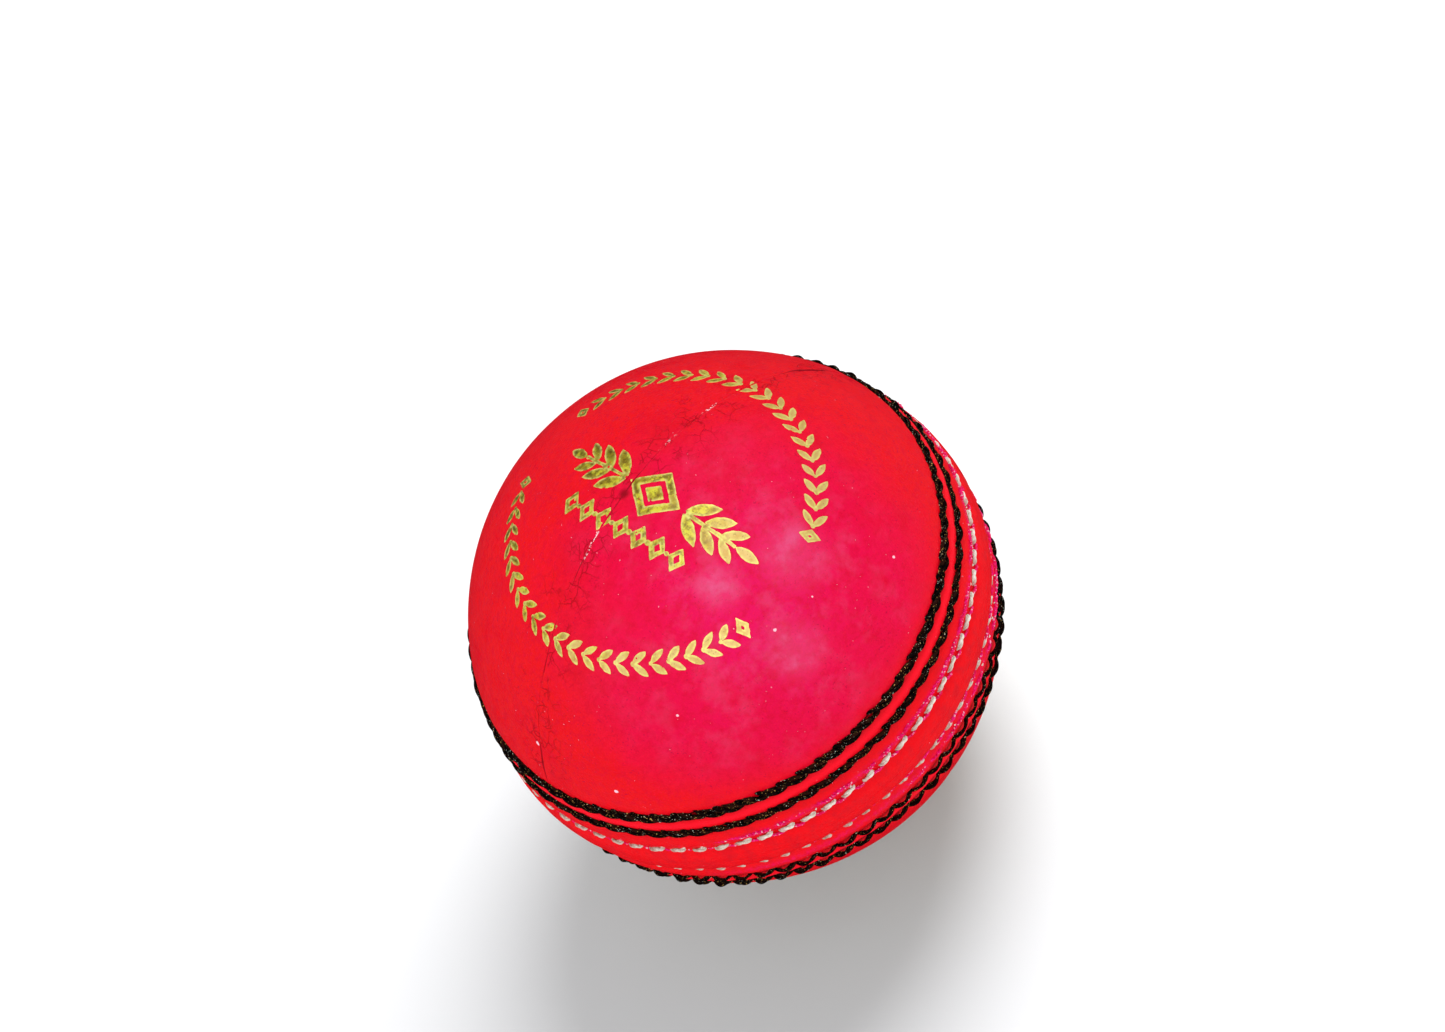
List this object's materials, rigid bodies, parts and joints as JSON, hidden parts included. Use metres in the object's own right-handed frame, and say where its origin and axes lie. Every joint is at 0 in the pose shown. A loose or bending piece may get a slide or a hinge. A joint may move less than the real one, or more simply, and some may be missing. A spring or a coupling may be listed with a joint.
{
  "type": "cricket ball",
  "caption": "Pink-red leather cricket ball sewn from quarters over a wound cork core, with a raised stitched seam in black and natural thread.",
  "frame": {"origin": "centre of the ball", "axes": "+Z along the seam's axis, so the stitched seam lies in the XY plane; the upper cup's quarter seam runs along X and the lower cup's along Y"},
  "size_m": [0.0728, 0.0728, 0.072],
  "materials": {
    "cover_leather": "alum-tanned leather, dyed pink-red, lacquered and polished, with foil stamped ornament",
    "black_thread": "black waxed linen thread, two-ply",
    "closing_thread": "natural waxed linen thread, stained by the dye",
    "lining_leather": "thin undyed split leather",
    "worsted_yarn": "wound worsted yarn, matte",
    "cork": "natural cork slivers, matte",
    "cork_rubber": "moulded cork and rubber granules, matte"
  },
  "bodies": {
    "root": {"core_nucleus": "cork_rubber", "yarn_wrap_inner": "worsted_yarn", "cork_slivers_inner": "cork", "yarn_wrap_middle": "worsted_yarn", "cork_slivers_outer": "cork", "yarn_wrap_outer": "worsted_yarn", "lining_strip_upper": "lining_leather", "lining_strip_lower": "lining_leather", "butt_stitches_upper": "closing_thread", "butt_stitches_lower": "closing_thread", "quarter_upper_left": "cover_leather", "quarter_upper_right": "cover_leather", "quarter_lower_left": "cover_leather", "quarter_lower_right": "cover_leather", "closing_row_upper": "closing_thread", "closing_row_lower": "closing_thread", "middle_row_upper": "black_thread", "middle_row_lower": "black_thread", "outer_row_upper": "black_thread", "outer_row_lower": "black_thread"}
  },
  "joints": []
}
